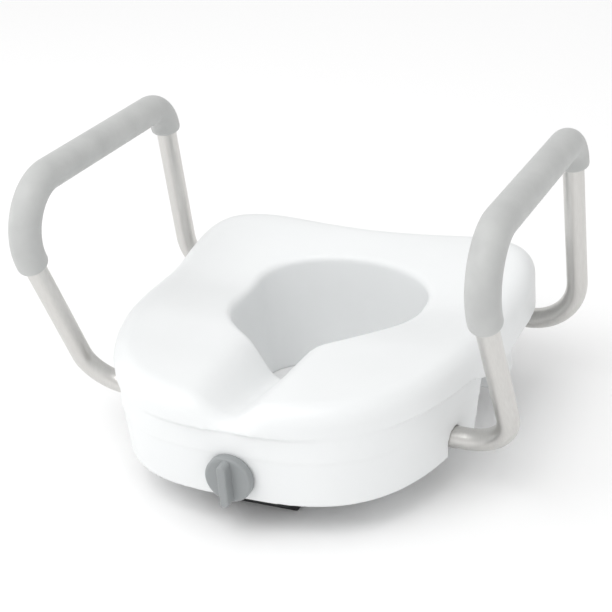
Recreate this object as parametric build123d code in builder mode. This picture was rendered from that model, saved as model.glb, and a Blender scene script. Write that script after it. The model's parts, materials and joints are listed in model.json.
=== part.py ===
from build123d import *
import os
from math import cos, copysign, exp, pi, radians, sin, tan

# Raised toilet seat with two arm loops, clamped to the bowl by a knob at the front.
# Millimetres. X runs across the seat (the plane X = 0 mirrors it), -Y is the front, +Z is up,
# and Z = 0 is where the splash wall, the clamp jaw and the rear stops end, inside the bowl.

# ---- driving dimensions: moulded body ----
WALL = 4.0                  # skin of the blow-moulded body
DROP = 40.0                 # how far the splash wall, jaw and rear stops hang below the skirt
PAD_LIFT = 8.0              # how far the rubber rim pads stand below the skirt
SEAT_HALF_WIDTH = 225.0
SEAT_FRONT, SEAT_MID, SEAT_REAR = -223.0, 90.0, 244.5
REAR_DENT = 12.0            # how far the rear edge is drawn in at the middle
LIP_FRONT_Z = 127.0         # lower edge of the overhanging lip at the front
LIP_REAR_Z = 107.0          # the same edge from the middle of the sides to the rear
SKIRT_HALF_WIDTH = 204.0
SKIRT_FRONT, SKIRT_REAR = -214.0, 175.0
SKIRT_DRAFT = 3.5           # how much further out the skirt is at the lip
HOLE_HALF_WIDTH = 110.0
HOLE_FRONT, HOLE_MID, HOLE_REAR = -74.0, 100.0, 157.0
EDGE_R = 22.0               # rounding of the seat's outer edge
HOLE_EDGE_R = 10.0
ARCH_INNER_X = 125.0        # depth of the arched recess in each side of the skirt

# ---- driving dimensions: arm loops ----
TUBE_R = 12.5
TUBE_WALL = 1.6
GRIP_R = 18.5
LOOP_X = 266.0              # plane of each arm loop
TUBE_END_X = 105.0          # inner end of each tube
FRONT_TUBE_Y, FRONT_TUBE_Z = -57.7, 60.0
REAR_TUBE_Y, REAR_TUBE_Z = 206.0, 76.0
STRAP_X = 150.0             # middle of each clamp strap
STRAP_WIDTH = 34.0
STRAP_SCREW_PITCH = 46.0

# ---- driving dimensions: clamp ----
KNOB_Z = 71.0
KNOB_R = 27.5
SCREW_R = 5.0
WELL_HALF_WIDTH = 58.0      # recess in the front underside where the jaw travels
WELL_FRONT, WELL_REAR, WELL_TOP = -203.0, -88.0, 100.0
JAW_Y = -165.0              # front face of the jaw
JAW_HALF_WIDTH = 50.0
RAIL_X = 34.0               # outer face of each guide rail
HOOK_X = 70.0
FIT = 0.05                  # radial play of a turning or sliding shaft
GAP = 0.4                   # air between parts that slide past each other


def superellipse(middle_y, half_width, front, rear, front_power, rear_power, dent=0, count=40):
    """Points of a closed egg-shaped outline, its rear edge drawn in by dent at the middle."""
    points = []
    for step in range(count):
        turn = 2 * pi * step / count
        across, along = cos(turn), sin(turn)
        reach, power = (rear - middle_y, rear_power) if along > 0 else (middle_y - front, front_power)
        x = half_width * copysign(abs(across) ** (2 / power), across)
        y = middle_y + reach * copysign(abs(along) ** (2 / power), along)
        if along > 0:
            y -= dent * max(1 - (x / (0.7 * half_width)) ** 2, 0) ** 2
        points.append((x, y))
    return points


def ramp(value, low, high):
    """Smooth step from 0 at low to 1 at high."""
    share = min(max((value - low) / (high - low), 0), 1)
    return share * share * (3 - 2 * share)


def seat_height(x, y):
    """Height of the sitting surface: thigh bulges, a hollow middle, raised rear corners, a front valley."""
    hollow = ramp(y, -60, 90)
    rise = ramp(y, 70, 225)
    outward = min(max((abs(x) - 60) / 150, 0), 1) ** 2
    surface = 163 - 27 * hollow * (1 - 0.75 * outward) + rise * (32 - 10 * outward)
    valley = (25 + 26 * min(max((y + 201) / 137, 0), 1)) * (1 - ramp(y, -64, 40))
    return surface - valley * exp(-((x / 29) ** 2))


def lip_outline():
    return superellipse(SEAT_MID, SEAT_HALF_WIDTH, SEAT_FRONT, SEAT_REAR, 2.63, 4.4, dent=REAR_DENT)


def skirt_outline(inset, flare=0):
    """The skirt's plan; flare moves its front and sides outwards, as its draft does."""
    return superellipse(
        SEAT_MID, SKIRT_HALF_WIDTH - inset + flare, SKIRT_FRONT + inset - flare, SKIRT_REAR - inset, 3.1, 5
    )


def hole_outline(outset):
    return superellipse(
        HOLE_MID, HOLE_HALF_WIDTH + outset, HOLE_FRONT - outset, HOLE_REAR + outset, 2.35, 2.1
    )


# ---- moulded body ----
sitting_surface = Face.make_surface_from_array_of_points(
    [[(x, y, seat_height(x, y)) for y in range(-250, 271, 20)] for x in range(-250, 251, 10)],
    tol=0.05,
    min_deg=3,
    max_deg=5,
)

with BuildPart() as upper_block:
    with BuildSketch(Plane.XY.offset(LIP_REAR_Z - 10)):
        with BuildLine():
            Spline(*lip_outline(), periodic=True)
        make_face()
    extrude(amount=120)
    extrude(to_extrude=sitting_surface, amount=150, dir=(0, 0, 1), mode=Mode.SUBTRACT)
    fillet(upper_block.faces().sort_by(Axis.Z)[-1].edges(), EDGE_R)


def body_volume(inset, block, bottom):
    """The body as a filled volume, with its skin moved inwards by inset."""
    with BuildPart() as volume:
        add(block)
        # Cut away what lies under the lip and outside the skirt; the edge steps up towards the front.
        with BuildSketch(Plane.YZ):
            with BuildLine():
                Polyline(
                    (-260, 60), (260, 60), (260, LIP_REAR_Z + inset), (5 - inset, LIP_REAR_Z + inset),
                    (-45 - inset, LIP_FRONT_Z + inset), (-260, LIP_FRONT_Z + inset), close=True,
                )
            make_face()
        under_lip = extrude(amount=260, both=True, mode=Mode.PRIVATE)
        with BuildSketch(Plane.XY.offset(50)):
            with BuildLine():
                Spline(*skirt_outline(inset, SKIRT_DRAFT), periodic=True)
            make_face()
        skirt_core = extrude(amount=100, mode=Mode.PRIVATE)
        add(under_lip - skirt_core, mode=Mode.SUBTRACT)
        # Skirt, from its bottom edge up into the block.
        with BuildSketch(Plane.XY.offset(bottom)):
            with BuildLine():
                Spline(*skirt_outline(inset), periodic=True)
            make_face()
        with BuildSketch(Plane.XY.offset(LIP_REAR_Z)):
            with BuildLine():
                Spline(*skirt_outline(inset, SKIRT_DRAFT), periodic=True)
            make_face()
        loft()
        # Opening in the middle; the skin is thicker behind its rounded edge.
        with BuildSketch(Plane.XY.offset(20)):
            with BuildLine():
                Spline(*hole_outline(1.7 * inset), periodic=True)
            make_face()
        extrude(amount=200, mode=Mode.SUBTRACT)
        # Arched recess in each side of the skirt.
        with BuildSketch(Plane.YZ):
            with BuildLine():
                Polyline(
                    (-7 - inset, 30), (15 - inset, LIP_REAR_Z - 6), (22 - inset, LIP_REAR_Z + inset),
                    (70 + inset, LIP_REAR_Z + inset), (88 + inset, 30), close=True,
                )
            make_face()
        arch = extrude(amount=250, both=True, mode=Mode.PRIVATE)
        for side in (-1, 1):
            with Locations((side * (ARCH_INNER_X - inset + 150), 0, 80)):
                reach = Box(300, 200, 120, mode=Mode.PRIVATE)
            add(arch & reach, mode=Mode.SUBTRACT)
        # Channel for each front tube, open at the bottom.
        for side in (-1, 1):
            channel_x = side * (TUBE_END_X - 6 - inset + 100)
            with Locations((channel_x, FRONT_TUBE_Y, FRONT_TUBE_Z)):
                Cylinder(TUBE_R + GAP + inset, 200, rotation=(0, 90, 0), mode=Mode.SUBTRACT)
            with Locations((channel_x, FRONT_TUBE_Y, FRONT_TUBE_Z - 20)):
                Box(200, 2 * (TUBE_R + GAP + inset), 40, mode=Mode.SUBTRACT)
        # Well for the jaw, open at the bottom.
        with Locations((0, (WELL_FRONT + WELL_REAR) / 2, (WELL_TOP + 20) / 2)):
            Box(
                2 * (WELL_HALF_WIDTH + inset), WELL_REAR - WELL_FRONT + 2 * inset,
                WELL_TOP - 20 + 2 * inset, mode=Mode.SUBTRACT,
            )
    return volume.part


def pillar(x, y, low, high, radius):
    """Solid column inside the hollow body, left standing where a screw or a stem goes in."""
    with Locations((x, y, (low + high) / 2)):
        Cylinder(radius, high - low, mode=Mode.SUBTRACT)


strap_screw_offsets = (-STRAP_SCREW_PITCH / 2, STRAP_SCREW_PITCH / 2)
front_strap_screws = [
    (side * STRAP_X, FRONT_TUBE_Y + offset) for side in (-1, 1) for offset in strap_screw_offsets
]
rear_strap_screws = [
    (side * STRAP_X, REAR_TUBE_Y + offset) for side in (-1, 1) for offset in strap_screw_offsets
]
bracket_screws_at = [(x, y) for x in (-22, 22) for y in (-175, -112)]
rim_pads_at = [(side * x, y) for side in (-1, 1) for x, y in ((105, -150), (165, 130))]
stop_screws_at = [(side * HOOK_X, z) for side in (-1, 1) for z in (56, 86)]

# The hollow inside: the same volume, slightly smaller, around the solid columns.
inner_block = Pos(0, 0, -1.5) * scale(upper_block.part, by=0.982)
with BuildPart() as hollow:
    add(body_volume(WALL, inner_block, DROP + WALL))
    for x, y in front_strap_screws:
        pillar(x, y, DROP, DROP + 28, 7)
    for x, y in rim_pads_at:
        pillar(x, y, DROP, DROP + 18, 9)
    for x, y in bracket_screws_at:
        pillar(x, y, WELL_TOP, WELL_TOP + 20, 7)
    for x, z in stop_screws_at:
        with Locations((x, SKIRT_REAR - 12, z)):
            Cylinder(7, 28, rotation=(90, 0, 0), mode=Mode.SUBTRACT)

with BuildPart() as seat_body:
    add(body_volume(0, upper_block.part, DROP))
    # The opening's rim: its edges are the only wide ones in the middle, high up.
    hole_edge = seat_body.edges().filter_by(
        lambda edge: edge.bounding_box().min.Z > LIP_REAR_Z
        and edge.bounding_box().size.X > 30
        and abs(edge.center().X) < HOLE_HALF_WIDTH
        and edge.bounding_box().max.Y < HOLE_REAR + 1
        and edge.bounding_box().min.Y > HOLE_FRONT - 1
    )
    fillet(hole_edge, HOLE_EDGE_R)
    # Splash wall, carried on down around the opening.
    with BuildSketch(Plane.XY):
        with BuildLine():
            Spline(*hole_outline(WALL), periodic=True)
        make_face()
        with BuildLine():
            Spline(*hole_outline(0), periodic=True)
        make_face(mode=Mode.SUBTRACT)
    extrude(amount=DROP + 1)
    # Saddle over each rear tube, hanging from the lip's underside.
    for side in (-1, 1):
        with Locations((side * STRAP_X, REAR_TUBE_Y - 8, REAR_TUBE_Z + 17)):
            Box(STRAP_WIDTH, 76, 34)
        with Locations((side * STRAP_X, REAR_TUBE_Y, REAR_TUBE_Z)):
            Cylinder(TUBE_R + GAP, STRAP_WIDTH + 2, rotation=(0, 90, 0), mode=Mode.SUBTRACT)
    # Pilot holes for the screws, and blind holes for the rim pads' stems.
    for x, y in front_strap_screws:
        with Locations((x, y, DROP)):
            Cylinder(2, 40, mode=Mode.SUBTRACT)
    for x, y in rear_strap_screws:
        with Locations((x, y, REAR_TUBE_Z)):
            Cylinder(2, 44, mode=Mode.SUBTRACT)
    for x, y in bracket_screws_at:
        with Locations((x, y, WELL_TOP)):
            Cylinder(2, 30, mode=Mode.SUBTRACT)
    for x, y in rim_pads_at:
        with Locations((x, y, DROP)):
            Cylinder(4, 24, mode=Mode.SUBTRACT)
    for x, z in stop_screws_at:
        with Locations((x, SKIRT_REAR, z)):
            Cylinder(2, 26, rotation=(90, 0, 0), mode=Mode.SUBTRACT)
    # Bore and spot face for the knob's bush, and the vent left by the blow pin.
    with Locations((0, SKIRT_FRONT, KNOB_Z)):
        Cylinder(9, 40, rotation=(90, 0, 0), mode=Mode.SUBTRACT)
    with Locations((0, SKIRT_FRONT - 10.5, KNOB_Z)):
        Cylinder(16.3, 20, rotation=(90, 0, 0), mode=Mode.SUBTRACT)
    with Locations((-140, 120, DROP)):
        Cylinder(3, 12, mode=Mode.SUBTRACT)
    add(hollow.part, mode=Mode.SUBTRACT)


# ---- arm loops ----
FRONT_TOP = (-182.0, 347.5)     # Y and Z where the front leg's line meets the top line
REAR_TOP = (179.0, 330.0)
GRIP_FRONT_SHARE = 0.67         # how far up the front leg's line the foam starts
GRIP_REAR_SHARE = 0.15          # how far down the rear leg's line the foam ends
GRIP_END_R = 5.0
FRONT_BOTTOM_BEND_R, FRONT_TOP_BEND_R = 52.0, 60.0
REAR_TOP_BEND_R, REAR_BOTTOM_BEND_R = 38.0, 62.0


def between(start, end, share):
    return tuple(a + (b - a) * share for a, b in zip(start, end))


def bent_rod(points, bend_radii, radius, mode=Mode.ADD):
    """Round rod along straight runs through the points, with a tangent bend at each inner point."""
    corners = [Vector(point) for point in points]
    last = corners[0]
    for before, corner, after, bend_radius in zip(corners, corners[1:], corners[2:], bend_radii):
        back = (before - corner).normalized()
        ahead = (after - corner).normalized()
        corner_angle = back.get_angle(ahead)
        reach = bend_radius / tan(radians(corner_angle) / 2)
        bend_start = corner + back * reach
        with BuildSketch(Plane(origin=last, z_dir=-back)) as run_section:
            Circle(radius)
        extrude(run_section.sketch, amount=(bend_start - last).length, mode=mode)
        centre = corner + (back + ahead).normalized() * (bend_radius / sin(radians(corner_angle) / 2))
        with BuildSketch(Plane(origin=bend_start, z_dir=-back)) as bend_section:
            Circle(radius)
        bend_axis = Axis(centre, (bend_start - centre).cross(-back))
        revolve(bend_section.sketch, axis=bend_axis, revolution_arc=180 - corner_angle, mode=mode)
        last = corner + ahead * reach
    with BuildSketch(Plane(origin=last, z_dir=corners[-1] - last)) as end_section:
        Circle(radius)
    extrude(end_section.sketch, amount=(corners[-1] - last).length, mode=mode)


front_foot = (LOOP_X, FRONT_TUBE_Y, FRONT_TUBE_Z)
front_top = (LOOP_X, *FRONT_TOP)
rear_top = (LOOP_X, *REAR_TOP)
rear_foot = (LOOP_X, REAR_TUBE_Y, REAR_TUBE_Z)
front_end = (TUBE_END_X, FRONT_TUBE_Y, FRONT_TUBE_Z)
rear_end = (TUBE_END_X, REAR_TUBE_Y, REAR_TUBE_Z)

tube_points = [front_end, front_foot, front_top, rear_top, rear_foot, rear_end]
tube_bends = [FRONT_BOTTOM_BEND_R, FRONT_TOP_BEND_R, REAR_TOP_BEND_R, REAR_BOTTOM_BEND_R]
with BuildPart() as arm_tube_right:
    bent_rod(tube_points, tube_bends, TUBE_R)
    bent_rod(tube_points, tube_bends, TUBE_R - TUBE_WALL, mode=Mode.SUBTRACT)

grip_start = between(front_foot, front_top, GRIP_FRONT_SHARE)
grip_stop = between(rear_top, rear_foot, GRIP_REAR_SHARE)
grip_points = [grip_start, front_top, rear_top, grip_stop]
grip_bends = [FRONT_TOP_BEND_R, REAR_TOP_BEND_R]
with BuildPart() as arm_grip_right:
    bent_rod(grip_points, grip_bends, GRIP_R)
    fillet(arm_grip_right.faces().filter_by(GeomType.PLANE).edges(), GRIP_END_R)
    bent_rod(grip_points, grip_bends, TUBE_R, mode=Mode.SUBTRACT)

with BuildPart() as tube_plugs_right:
    for _, y, z in (front_end, rear_end):
        with Locations((TUBE_END_X - 1.5, y, z)):
            Cylinder(TUBE_R, 3, rotation=(0, 90, 0))
        with Locations((TUBE_END_X + 7, y, z)):
            Cylinder(TUBE_R - TUBE_WALL, 14, rotation=(0, 90, 0))
        with Locations((TUBE_END_X + 9, y, z)):
            Cylinder(TUBE_R - TUBE_WALL - 2.5, 10, rotation=(0, 90, 0), mode=Mode.SUBTRACT)

# ---- straps that hold the tubes to the body ----
with BuildPart() as front_strap_right:
    with Locations((STRAP_X, FRONT_TUBE_Y, DROP - 2)):
        Box(STRAP_WIDTH, STRAP_SCREW_PITCH + 16, 4)
    with Locations((STRAP_X, FRONT_TUBE_Y, DROP + 6)):
        Box(STRAP_WIDTH, 2 * TUBE_R, 12)
    with Locations((STRAP_X, FRONT_TUBE_Y, FRONT_TUBE_Z)):
        Cylinder(TUBE_R + GAP, STRAP_WIDTH + 2, rotation=(0, 90, 0), mode=Mode.SUBTRACT)
    with Locations((STRAP_X, FRONT_TUBE_Y, DROP - 2)):
        with GridLocations(1, STRAP_SCREW_PITCH, 1, 2):
            Cylinder(2.3, 6, mode=Mode.SUBTRACT)
    fillet(front_strap_right.edges().filter_by(Axis.Z).group_by(Axis.Z)[0], 3)

with BuildPart() as rear_strap_right:
    with Locations((STRAP_X, REAR_TUBE_Y, REAR_TUBE_Z - 9)):
        Box(STRAP_WIDTH, STRAP_SCREW_PITCH + 14, 18)
    fillet(rear_strap_right.edges().filter_by(Axis.X).group_by(Axis.Z)[0], 6)
    with Locations((STRAP_X, REAR_TUBE_Y, REAR_TUBE_Z)):
        Cylinder(TUBE_R + GAP, STRAP_WIDTH + 2, rotation=(0, 90, 0), mode=Mode.SUBTRACT)
        with GridLocations(1, STRAP_SCREW_PITCH, 1, 2):
            Cylinder(2.3, 40, mode=Mode.SUBTRACT)


def pan_screw(x, y, head_z, length):
    """Upright self-tapping screw: its head's upper face is at head_z and its shank runs up from there."""
    with Locations((x, y, head_z - 1.4)):
        Cylinder(4.2, 2.8)
    with Locations((x, y, head_z - 2.8)):
        Box(5.5, 1, 1.6, mode=Mode.SUBTRACT)
        Box(1, 5.5, 1.6, mode=Mode.SUBTRACT)
    with Locations((x, y, head_z + length / 2)):
        Cylinder(2, length)


with BuildPart() as strap_screws:
    for x, y in front_strap_screws:
        pan_screw(x, y, DROP - 4, 22)
    for x, y in rear_strap_screws:
        pan_screw(x, y, REAR_TUBE_Z - 18, 36)

# ---- front clamp: knob, lock screw, guide and jaw ----
KNOB_BACK = SKIRT_FRONT - 4
DISC_FRONT = KNOB_BACK - 10
RIDGE_FRONT = KNOB_BACK - 23
COLLAR_Y = -197.5
END_PLATE_Y = -94.0
SCREW_START_Y = KNOB_BACK - 12
JOURNAL_Y = END_PLATE_Y - 4       # where the screw narrows to its end journal
JOURNAL_R = 4.0
JOURNAL_LENGTH = 9.0
with BuildPart() as lock_knob:
    with BuildSketch(Plane.XZ.offset(-KNOB_BACK)):
        with Locations((0, KNOB_Z)):
            Circle(KNOB_R)
    extrude(amount=KNOB_BACK - DISC_FRONT)
    fillet(lock_knob.edges().sort_by(Axis.Y)[0], 3.5)
    with BuildSketch(Plane.XZ.offset(-DISC_FRONT - 1)):
        with Locations((0, KNOB_Z - 1)):
            SlotOverall(2 * KNOB_R - 2, 12, rotation=90)
    extrude(amount=DISC_FRONT + 1 - RIDGE_FRONT, taper=4)
    fillet(lock_knob.faces().sort_by(Axis.Y)[0].edges(), 2.5)
    with Locations((0, KNOB_BACK - 6, KNOB_Z)):
        Cylinder(SCREW_R, 12, rotation=(90, 0, 0), mode=Mode.SUBTRACT)
    with Locations((0, KNOB_BACK - 5, KNOB_Z)):
        Cylinder(1.5, 42, mode=Mode.SUBTRACT)

with BuildPart() as knob_pin:
    with Locations((0, KNOB_BACK - 5, KNOB_Z)):
        Cylinder(1.5, 40)

with BuildPart() as knob_bush:
    with BuildSketch(Plane.XZ.offset(-SKIRT_FRONT + 0.5)):
        with Locations((0, KNOB_Z)):
            Circle(16)
    extrude(amount=2.8)
    with BuildSketch(Plane.XZ.offset(-SKIRT_FRONT + 0.5)):
        with Locations((0, KNOB_Z)):
            Circle(9)
    extrude(amount=-14)
    with Locations((0, SKIRT_FRONT, KNOB_Z)):
        Cylinder(SCREW_R + FIT, 60, rotation=(90, 0, 0), mode=Mode.SUBTRACT)

with BuildPart() as lock_screw:
    with BuildSketch(Plane.XZ.offset(-SCREW_START_Y)):
        with Locations((0, KNOB_Z)):
            Circle(SCREW_R)
    extrude(amount=SCREW_START_Y - JOURNAL_Y)
    with BuildSketch(Plane.XZ.offset(-JOURNAL_Y)):
        with Locations((0, KNOB_Z)):
            Circle(JOURNAL_R)
    extrude(amount=-JOURNAL_LENGTH)
    with Locations((0, KNOB_BACK - 5, KNOB_Z)):
        Cylinder(1.5, 42, mode=Mode.SUBTRACT)
    with Locations((0, COLLAR_Y, KNOB_Z)):
        Cylinder(1.25, 42, mode=Mode.SUBTRACT)

with BuildPart() as screw_collar:
    with Locations((0, COLLAR_Y, KNOB_Z)):
        Cylinder(9, 5, rotation=(90, 0, 0))
        Cylinder(SCREW_R, 6, rotation=(90, 0, 0), mode=Mode.SUBTRACT)
        Cylinder(1.25, 20, mode=Mode.SUBTRACT)

with BuildPart() as collar_pin:
    with Locations((0, COLLAR_Y, KNOB_Z)):
        Cylinder(1.25, 17)

RAIL_WALL = 2.0
RAIL_LOW = 58.0
GUIDE_FRONT = -192.0
with BuildPart() as guide_channel:
    with Locations((0, (GUIDE_FRONT + END_PLATE_Y) / 2, (RAIL_LOW + WELL_TOP) / 2)):
        Box(2 * RAIL_X, END_PLATE_Y - GUIDE_FRONT, WELL_TOP - RAIL_LOW)
    with Locations((0, (GUIDE_FRONT + END_PLATE_Y) / 2 - RAIL_WALL, (RAIL_LOW + WELL_TOP) / 2 - RAIL_WALL)):
        Box(
            2 * (RAIL_X - RAIL_WALL), END_PLATE_Y - GUIDE_FRONT, WELL_TOP - RAIL_LOW,
            mode=Mode.SUBTRACT,
        )
    for x, y in bracket_screws_at:
        with Locations((x, y, WELL_TOP)):
            Cylinder(2.3, 10, mode=Mode.SUBTRACT)
    with Locations((0, END_PLATE_Y, KNOB_Z)):
        Cylinder(6, 10, rotation=(90, 0, 0), mode=Mode.SUBTRACT)

with BuildPart() as guide_screws:
    for x, y in bracket_screws_at:
        pan_screw(x, y, WELL_TOP - RAIL_WALL, 16)

with BuildPart() as end_bush:
    with Locations((0, END_PLATE_Y - 1, KNOB_Z)):
        Cylinder(6, 4, rotation=(90, 0, 0))
    with Locations((0, END_PLATE_Y - RAIL_WALL - 0.75, KNOB_Z)):
        Cylinder(8, 1.5, rotation=(90, 0, 0))
    with Locations((0, END_PLATE_Y, KNOB_Z)):
        Cylinder(4 + FIT, 20, rotation=(90, 0, 0), mode=Mode.SUBTRACT)

with BuildPart() as end_clip:
    with Locations((0, END_PLATE_Y + 2.4, KNOB_Z)):
        Cylinder(6.5, 1.2, rotation=(90, 0, 0))
        Cylinder(4, 3, rotation=(90, 0, 0), mode=Mode.SUBTRACT)

JAW_DEPTH = 24.0
TONGUE_DEPTH = 12.0
TONGUE_TOP = RAIL_LOW - 1.0
CARRIAGE_TOP = 90.0
NUT_R = 9.0                     # over the corners of the hexagon
NUT_DEPTH = 8.0
with BuildPart() as clamp_jaw:
    with BuildSketch(Plane.XZ.offset(-JAW_Y)):
        with Locations((0, TONGUE_TOP / 2)):
            RectangleRounded(2 * JAW_HALF_WIDTH, TONGUE_TOP, 4)
    extrude(amount=-TONGUE_DEPTH)
    fillet(clamp_jaw.edges().filter_by(GeomType.CIRCLE).group_by(Axis.Z)[0], 1.5)
    with Locations((0, JAW_Y + JAW_DEPTH / 2, (TONGUE_TOP - 20 + CARRIAGE_TOP) / 2)):
        Box(2 * (RAIL_X - RAIL_WALL - GAP), JAW_DEPTH, CARRIAGE_TOP - TONGUE_TOP + 20)
    for x in (-24, 24):
        with BuildSketch(Plane.YZ.offset(x - 2)):
            with BuildLine():
                Polyline(
                    (JAW_Y + TONGUE_DEPTH, 10), (JAW_Y + JAW_DEPTH, 40),
                    (JAW_Y + TONGUE_DEPTH, 40), close=True,
                )
            make_face()
        extrude(amount=4)
    with Locations((0, JAW_Y + JAW_DEPTH / 2, KNOB_Z)):
        Cylinder(SCREW_R + 1, 40, rotation=(90, 0, 0), mode=Mode.SUBTRACT)
    with BuildSketch(Plane.XZ.offset(-JAW_Y - JAW_DEPTH)):
        with Locations((0, KNOB_Z)):
            RegularPolygon(NUT_R, 6)
    extrude(amount=NUT_DEPTH, mode=Mode.SUBTRACT)

with BuildPart() as clamp_nut:
    with BuildSketch(Plane.XZ.offset(-JAW_Y - JAW_DEPTH)):
        with Locations((0, KNOB_Z)):
            RegularPolygon(NUT_R, 6)
            Circle(SCREW_R + FIT, mode=Mode.SUBTRACT)
    extrude(amount=NUT_DEPTH)

PAD_THICKNESS = 4.0
with BuildPart() as jaw_pad:
    with BuildSketch(Plane.XZ.offset(-JAW_Y)):
        with Locations((0, 20)):
            RectangleRounded(2 * JAW_HALF_WIDTH - 16, 30, 6)
    extrude(amount=PAD_THICKNESS)
    for height in (12, 20, 28):
        with Locations((0, JAW_Y - PAD_THICKNESS, height)):
            Box(2 * JAW_HALF_WIDTH, 2, 2.5, mode=Mode.SUBTRACT)

# ---- fixed stops behind the opening, and the pads that rest on the rim ----
STOP_FRONT = SKIRT_REAR + 0.2
STOP_THICKNESS = 5.0
STOP_WIDTH = 40.0
STOP_TOP = 100.0
with BuildPart() as rear_stop_right:
    with BuildSketch(Plane.XZ.offset(-STOP_FRONT)):
        with Locations((HOOK_X, STOP_TOP / 2)):
            RectangleRounded(STOP_WIDTH, STOP_TOP, 8)
    extrude(amount=-STOP_THICKNESS)
    for z in (56, 86):
        with Locations((HOOK_X, STOP_FRONT, z)):
            Cylinder(2.3, 20, rotation=(90, 0, 0), mode=Mode.SUBTRACT)

with BuildPart() as stop_pad_right:
    with BuildSketch(Plane.XZ.offset(-STOP_FRONT - STOP_THICKNESS)):
        with Locations((HOOK_X, 20)):
            RectangleRounded(STOP_WIDTH - 6, 32, 5)
    extrude(amount=-PAD_THICKNESS)
    for height in (12, 20, 28):
        with Locations((HOOK_X, STOP_FRONT + STOP_THICKNESS + PAD_THICKNESS, height)):
            Box(STOP_WIDTH, 2, 2.5, mode=Mode.SUBTRACT)

with BuildPart() as stop_screws:
    for x, z in stop_screws_at:
        with Locations((x, STOP_FRONT + STOP_THICKNESS + 1.4, z)):
            Cylinder(4.2, 2.8, rotation=(90, 0, 0))
        with Locations((x, STOP_FRONT + STOP_THICKNESS - 7, z)):
            Cylinder(2, 14, rotation=(90, 0, 0))

with BuildPart() as rim_pads:
    for x, y in rim_pads_at:
        with Locations((x, y, DROP - PAD_LIFT / 2)):
            Cylinder(14, PAD_LIFT)
        with Locations((x, y, DROP + 5)):
            Cylinder(4, 10)
    fillet(rim_pads.edges().group_by(Axis.Z)[0], 2)


# ---- mirrored pieces, then every piece to its file ----
def mirrored(piece):
    with BuildPart() as other_side:
        mirror(piece.part, about=Plane.YZ)
    return other_side


pieces = {
    "seat_body": seat_body,
    "strap_screws": strap_screws,
    "lock_knob": lock_knob,
    "knob_pin": knob_pin,
    "knob_bush": knob_bush,
    "lock_screw": lock_screw,
    "screw_collar": screw_collar,
    "collar_pin": collar_pin,
    "guide_channel": guide_channel,
    "guide_screws": guide_screws,
    "end_bush": end_bush,
    "end_clip": end_clip,
    "clamp_jaw": clamp_jaw,
    "clamp_nut": clamp_nut,
    "jaw_pad": jaw_pad,
    "stop_screws": stop_screws,
    "rim_pads": rim_pads,
}
for name, piece in {
    "arm_tube": arm_tube_right,
    "arm_grip": arm_grip_right,
    "tube_plugs": tube_plugs_right,
    "front_strap": front_strap_right,
    "rear_strap": rear_strap_right,
    "rear_stop": rear_stop_right,
    "stop_pad": stop_pad_right,
}.items():
    pieces[name + "_right"] = piece
    pieces[name + "_left"] = mirrored(piece)

os.makedirs("parts", exist_ok=True)
for name, piece in pieces.items():
    piece.part.label = name
    export_step(piece.part, f"parts/{name}.step")
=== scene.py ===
"""Raised toilet seat with two padded arm loops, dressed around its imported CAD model.

Metres, in the CAD frame: X across the seat, -Y the front, +Z up, the floor at Z = 0.
"""

import json
import math

import bmesh
import bpy
from mathutils import Matrix, Vector


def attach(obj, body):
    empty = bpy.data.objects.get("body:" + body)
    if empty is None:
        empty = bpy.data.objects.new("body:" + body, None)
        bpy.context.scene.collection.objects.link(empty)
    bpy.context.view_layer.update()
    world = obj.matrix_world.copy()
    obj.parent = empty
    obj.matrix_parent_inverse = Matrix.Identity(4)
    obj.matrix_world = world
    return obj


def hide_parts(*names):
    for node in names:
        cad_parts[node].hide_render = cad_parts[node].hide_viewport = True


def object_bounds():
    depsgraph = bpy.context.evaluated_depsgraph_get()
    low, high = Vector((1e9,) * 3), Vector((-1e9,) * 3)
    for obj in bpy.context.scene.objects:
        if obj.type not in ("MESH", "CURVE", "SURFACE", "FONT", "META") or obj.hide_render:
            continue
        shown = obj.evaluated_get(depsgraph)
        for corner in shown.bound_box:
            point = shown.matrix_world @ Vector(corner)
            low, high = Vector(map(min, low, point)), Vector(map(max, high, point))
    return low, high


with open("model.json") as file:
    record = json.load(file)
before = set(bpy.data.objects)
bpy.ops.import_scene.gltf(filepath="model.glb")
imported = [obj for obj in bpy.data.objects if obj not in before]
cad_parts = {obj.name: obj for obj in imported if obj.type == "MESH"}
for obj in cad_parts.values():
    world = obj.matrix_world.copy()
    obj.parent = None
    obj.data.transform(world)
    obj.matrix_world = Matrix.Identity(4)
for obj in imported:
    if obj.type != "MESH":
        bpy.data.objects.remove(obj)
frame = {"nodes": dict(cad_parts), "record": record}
cad_low, cad_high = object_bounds()
nodes = frame["nodes"]
SIDES = ("right", "left")

# ---- camera ----
CAMERA_AT = Vector((0.7183, -1.4660, 0.9992))
CAMERA_AZIMUTH, CAMERA_ELEVATION, CAMERA_ROLL = (math.radians(a) for a in (26.10, 27.00, -5.0))
LENS_MM, SENSOR_MM = 93.28, 36.0


def make_camera():
    """The camera looks down at the seat from its front right, turned slightly about its own axis."""
    back = Vector((
        math.sin(CAMERA_AZIMUTH) * math.cos(CAMERA_ELEVATION),
        -math.cos(CAMERA_AZIMUTH) * math.cos(CAMERA_ELEVATION),
        math.sin(CAMERA_ELEVATION),
    ))
    right = Vector((math.cos(CAMERA_AZIMUTH), math.sin(CAMERA_AZIMUTH), 0))
    up = back.cross(right)
    turned_right = right * math.cos(CAMERA_ROLL) + up * math.sin(CAMERA_ROLL)
    turned_up = up * math.cos(CAMERA_ROLL) - right * math.sin(CAMERA_ROLL)
    camera = bpy.data.objects.new("camera", bpy.data.cameras.new("camera"))
    camera.data.lens = LENS_MM
    camera.data.sensor_width = SENSOR_MM
    turn = Matrix((turned_right, turned_up, back)).transposed().to_4x4()
    camera.matrix_world = Matrix.Translation(CAMERA_AT) @ turn
    bpy.context.scene.collection.objects.link(camera)
    bpy.context.scene.camera = camera


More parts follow.
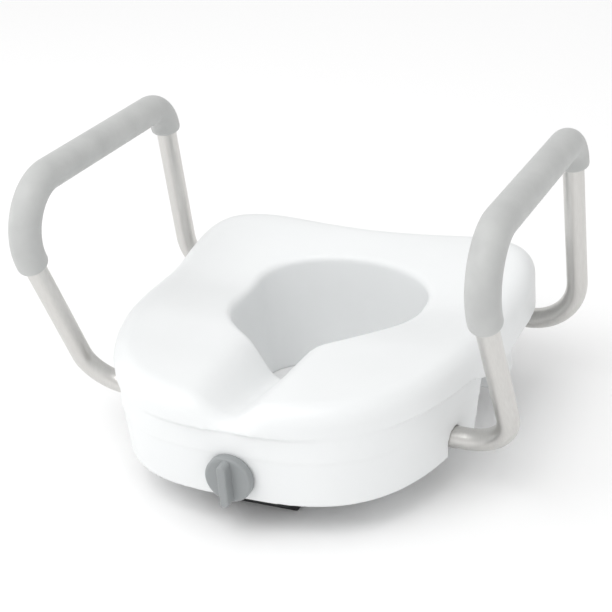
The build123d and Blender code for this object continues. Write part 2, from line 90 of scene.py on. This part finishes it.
# ---- materials ----
class Surface:
    """A material under construction: one principled shader and the nodes that feed it."""

    def __init__(self, name, **constants):
        self.material = bpy.data.materials.new(name)
        self.material.use_nodes = True
        self.tree = self.material.node_tree
        self.shader = next(n for n in self.tree.nodes if n.type == "BSDF_PRINCIPLED")
        self.place = self.add("ShaderNodeTexCoord").outputs["Object"]
        self.normal = None
        for socket, value in constants.items():
            self.shader.inputs[socket.replace("_", " ")].default_value = value

    def add(self, kind, **settings):
        node = self.tree.nodes.new(kind)
        for key, value in settings.items():
            setattr(node, key, value)
        return node

    def link(self, output, socket):
        self.tree.links.new(output, socket)

    def noise(self, per_metre, detail=2.0, roughness=0.5, stretch=(1, 1, 1)):
        """Noise in object space; stretch below 1 along an axis draws it out into streaks."""
        mapping = self.add("ShaderNodeMapping")
        mapping.inputs["Scale"].default_value = stretch
        self.link(self.place, mapping.inputs["Vector"])
        noise = self.add("ShaderNodeTexNoise")
        noise.inputs["Scale"].default_value = per_metre
        noise.inputs["Detail"].default_value = detail
        noise.inputs["Roughness"].default_value = roughness
        self.link(mapping.outputs["Vector"], noise.inputs["Vector"])
        return noise.outputs["Fac"]

    def cells(self, per_metre):
        """Distance from the middle of small closed cells."""
        voronoi = self.add("ShaderNodeTexVoronoi")
        voronoi.inputs["Scale"].default_value = per_metre
        self.link(self.place, voronoi.inputs["Vector"])
        return voronoi.outputs["Distance"]

    def ramp(self, factor, low, high, first, last):
        """A colour or grey that goes from first to last as factor goes from low to high."""
        ramp = self.add("ShaderNodeValToRGB")
        for stop, position, colour in zip(ramp.color_ramp.elements, (low, high), (first, last)):
            stop.position = position
            stop.color = (*colour, 1) if isinstance(colour, tuple) else (colour, colour, colour, 1)
        self.link(factor, ramp.inputs["Fac"])
        return ramp.outputs["Color"]

    def bump(self, height, distance, strength):
        """Raises the surface by up to distance metres, on top of the bumps already there."""
        bump = self.add("ShaderNodeBump")
        bump.inputs["Distance"].default_value = distance
        bump.inputs["Strength"].default_value = strength
        self.link(height, bump.inputs["Height"])
        if self.normal:
            self.link(self.normal, bump.inputs["Normal"])
        self.normal = bump.outputs["Normal"]
        self.link(self.normal, self.shader.inputs["Normal"])

    def colour(self, output):
        self.link(output, self.shader.inputs["Base Color"])

    def roughness(self, output):
        self.link(output, self.shader.inputs["Roughness"])


def shade(colour, factor):
    return tuple(channel * factor for channel in colour)


def moulded_plastic(name, colour, rough, grain_depth, variation=0.04, **constants):
    """Moulded plastic: faint clouding, a fine eroded grain, and soft scuffs in its gloss."""
    surface = Surface(name, **constants)
    clouds = surface.noise(9, 3)
    surface.colour(surface.ramp(clouds, 0.35, 0.65, shade(colour, 1 - variation), colour))
    scuffs = surface.noise(60, 6, 0.62, (1, 0.35, 1))
    surface.roughness(surface.ramp(scuffs, 0.38, 0.72, rough, rough + 0.13))
    surface.bump(surface.noise(1300, 3, 0.6), 0.0003, grain_depth)
    return surface


def brushed_metal(name, colour, rough, stretch=(1, 1, 1), **constants):
    """Satin metal: fine drawn streaks in its gloss and colour, and a few handling marks."""
    surface = Surface(name, Metallic=1.0, **constants)
    streaks = surface.noise(900, 4, 0.6, stretch)
    surface.colour(surface.ramp(streaks, 0.3, 0.7, shade(colour, 0.93), colour))
    marks = surface.noise(45, 5, 0.6)
    surface.roughness(surface.ramp(marks, 0.35, 0.7, rough, rough + 0.1))
    surface.bump(streaks, 0.00008, 0.25)
    return surface


def make_materials():
    seat = moulded_plastic("seat_white", (0.818, 0.831, 0.834), 0.34, 0.10, variation=0.015)
    seat.bump(seat.noise(13, 2), 0.004, 0.10)

    foam = Surface("grip_foam", Roughness=0.62, Sheen_Weight=0.12, Sheen_Roughness=0.5)
    clouds = foam.noise(28, 4)
    foam.colour(foam.ramp(clouds, 0.32, 0.7, (0.465, 0.472, 0.466), (0.515, 0.522, 0.514)))
    foam.roughness(foam.ramp(foam.noise(70, 5), 0.35, 0.7, 0.44, 0.58))
    foam.bump(foam.cells(1150), 0.00035, 0.16)
    foam.bump(foam.noise(240, 4, 0.6), 0.0006, 0.12)

    tube = brushed_metal("tube_aluminium", (0.66, 0.65, 0.63), 0.28, (1, 0.25, 0.06))
    return {
        "seat_white": seat,
        "grip_foam": foam,
        "tube_aluminium": tube,
        "knob_grey": moulded_plastic("knob_grey", (0.30, 0.315, 0.32), 0.36, 0.22, variation=0.06),
        "strap_grey": moulded_plastic("strap_grey", (0.62, 0.63, 0.63), 0.42, 0.2, variation=0.05),
        "jaw_black": moulded_plastic("jaw_black", (0.022, 0.022, 0.024), 0.42, 0.35, variation=0.25),
        "bush_black": moulded_plastic("bush_black", (0.035, 0.035, 0.036), 0.38, 0.2, variation=0.2),
        "pad_rubber": moulded_plastic("pad_rubber", (0.045, 0.045, 0.048), 0.68, 0.4, variation=0.2),
        "fastener_steel": brushed_metal("fastener_steel", (0.60, 0.61, 0.63), 0.28),
        "channel_steel": brushed_metal("channel_steel", (0.56, 0.57, 0.59), 0.36, (1, 0.05, 1)),
        "nut_brass": brushed_metal("nut_brass", (0.72, 0.56, 0.28), 0.3),
    }


# ---- meshes ----
SEAT_VOXEL, SEAT_SOFTENING = 0.0019, 5
GRIP_VOXEL, GRIP_SOFTENING = 0.0015, 4
VENT = ((-0.140, 0.120, 0.0415), (-0.140, 0.120, 0.0465), 0.004)    # ends and radius of the body's vent hole


def new_piece(name, mesh, slot, body, *replaced):
    piece = bpy.data.objects.new(name, mesh)
    bpy.context.scene.collection.objects.link(piece)
    mesh.materials.clear()
    mesh.materials.append(surfaces[slot].material)
    mesh.shade_smooth()
    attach(piece, body)
    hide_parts(*replaced)
    return piece


def add_rod(mesh, start, end, radius):
    """A closed rod between two points, added to the mesh as it is."""
    axis = Vector(end) - Vector(start)
    turn = Vector((0, 0, 1)).rotation_difference(axis).to_matrix().to_4x4()
    place = Matrix.Translation((Vector(start) + Vector(end)) / 2) @ turn
    bmesh.ops.create_cone(
        mesh, cap_ends=True, segments=24, radius1=radius, radius2=radius, depth=axis.length, matrix=place
    )


def outer_skin(mesh):
    """Deletes every loose part of the mesh apart from the widest one."""
    left = set(mesh.verts)
    parts = []
    while left:
        queue = [left.pop()]
        part = list(queue)
        while queue:
            for edge in queue.pop().link_edges:
                for vertex in edge.verts:
                    if vertex in left:
                        left.remove(vertex)
                        queue.append(vertex)
                        part.append(vertex)
        across = [vertex.co.x for vertex in part]
        parts.append((max(across) - min(across), len(parts), part))
    parts.sort()
    for _, _, part in parts[:-1]:
        bmesh.ops.delete(mesh, geom=part, context="VERTS")


def moulded_mesh(node, voxel, softness, plugs=()):
    """The CAD node's surface as one even skin whose sharp edges are rounded off, as a mould leaves them."""
    work = bmesh.new()
    work.from_mesh(nodes[node].data)
    bmesh.ops.remove_doubles(work, verts=work.verts, dist=1e-6)
    for start, end, radius in plugs:
        add_rod(work, start, end, radius)
    rough = bpy.data.meshes.new(node + "_work")
    work.to_mesh(rough)
    work.free()
    helper = bpy.data.objects.new(node + "_work", rough)
    bpy.context.scene.collection.objects.link(helper)
    remesh = helper.modifiers.new("skin", "REMESH")
    remesh.mode = "VOXEL"
    remesh.voxel_size = voxel
    remesh.use_smooth_shade = True
    soften = helper.modifiers.new("soften", "SMOOTH")
    soften.factor = 0.5
    soften.iterations = softness
    evaluated = helper.evaluated_get(bpy.context.evaluated_depsgraph_get())
    mesh = bpy.data.meshes.new_from_object(evaluated)
    bpy.data.objects.remove(helper)
    bpy.data.meshes.remove(rough)
    skin = bmesh.new()
    skin.from_mesh(mesh)
    outer_skin(skin)
    skin.to_mesh(mesh)
    skin.free()
    return mesh


# ---- light and floor ----
ROOM_DIM, ROOM_BRIGHT = 0.48, 0.92      # strength of the walls at the right rear and at the upper left
BRIGHT_SIDE = Vector((-0.35, -0.4, 0.85))
FADE_START, FADE_END = -0.8, 0.5        # cosines of the angle from the bright side between which it fades
KEY_AT, KEY_SIZE, KEY_WATTS = (-0.5, -1.5, 2.7), (2.2, 2.2), 31
STRIP_AT, STRIP_SIZE, STRIP_WATTS = (-2.2, -0.3, 0.9), (0.12, 1.8), 4
FLOOR_REACH = 9.0


def area_light(name, position, target, size, power):
    light = bpy.data.lights.new(name, "AREA")
    light.shape = "RECTANGLE"
    light.size, light.size_y = size
    light.energy = power
    lamp = bpy.data.objects.new(name, light)
    lamp.location = position
    lamp.rotation_euler = (Vector(target) - Vector(position)).to_track_quat("-Z", "Y").to_euler()
    bpy.context.scene.collection.objects.link(lamp)


def light_room():
    """White walls all round, dimmer towards the right and the back."""
    world = bpy.data.worlds.new("studio")
    bpy.context.scene.world = world
    world.use_nodes = True
    tree = world.node_tree
    direction = tree.nodes.new("ShaderNodeTexCoord").outputs["Generated"]
    side = tree.nodes.new("ShaderNodeVectorMath")
    side.operation = "DOT_PRODUCT"
    side.inputs[1].default_value = BRIGHT_SIDE.normalized()
    tree.links.new(direction, side.inputs[0])
    fade = tree.nodes.new("ShaderNodeMapRange")
    fade.inputs["From Min"].default_value = FADE_START
    fade.inputs["From Max"].default_value = FADE_END
    fade.inputs["To Min"].default_value = ROOM_DIM
    fade.inputs["To Max"].default_value = ROOM_BRIGHT
    tree.links.new(side.outputs["Value"], fade.inputs["Value"])
    background = tree.nodes["Background"]
    background.inputs["Color"].default_value = (1, 1, 1, 1)
    tree.links.new(fade.outputs["Result"], background.inputs["Strength"])


def make_studio():
    middle = (cad_low + cad_high) / 2
    area_light("key", KEY_AT, middle, KEY_SIZE, KEY_WATTS)
    area_light("strip", STRIP_AT, middle, STRIP_SIZE, STRIP_WATTS)
    light_room()
    ground = bpy.data.meshes.new("floor")
    ground.from_pydata(
        [(FLOOR_REACH * x, FLOOR_REACH * y, 0) for x, y in ((-1, -1), (1, -1), (1, 1), (-1, 1))],
        [],
        [(0, 1, 2, 3)],
    )
    floor = bpy.data.objects.new("floor", ground)
    bpy.context.scene.collection.objects.link(floor)
    pale = Surface("floor_pale", Base_Color=(0.97, 0.97, 0.97, 1), Roughness=0.8)
    ground.materials.append(pale.material)
    bpy.context.scene.view_settings.view_transform = "Standard"


make_camera()
surfaces = make_materials()
slot_of = {part["node"]: part["material_slot"] for part in frame["record"]["subparts"]}
for name, node in nodes.items():
    node.data.materials.clear()
    node.data.materials.append(surfaces[slot_of[name]].material)

# The vent is plugged, so that the outer skin closes without the hollow behind it.
seat_mesh = moulded_mesh("seat_body", SEAT_VOXEL, SEAT_SOFTENING, plugs=[VENT])
new_piece("seat_shell", seat_mesh, "seat_white", "seat", "seat_body")
for side in SIDES:
    grip_mesh = moulded_mesh("arm_grip_" + side, GRIP_VOXEL, GRIP_SOFTENING)
    grip = new_piece("foam_grip_" + side, grip_mesh, "grip_foam", side + "_arm", "arm_grip_" + side)
make_studio()
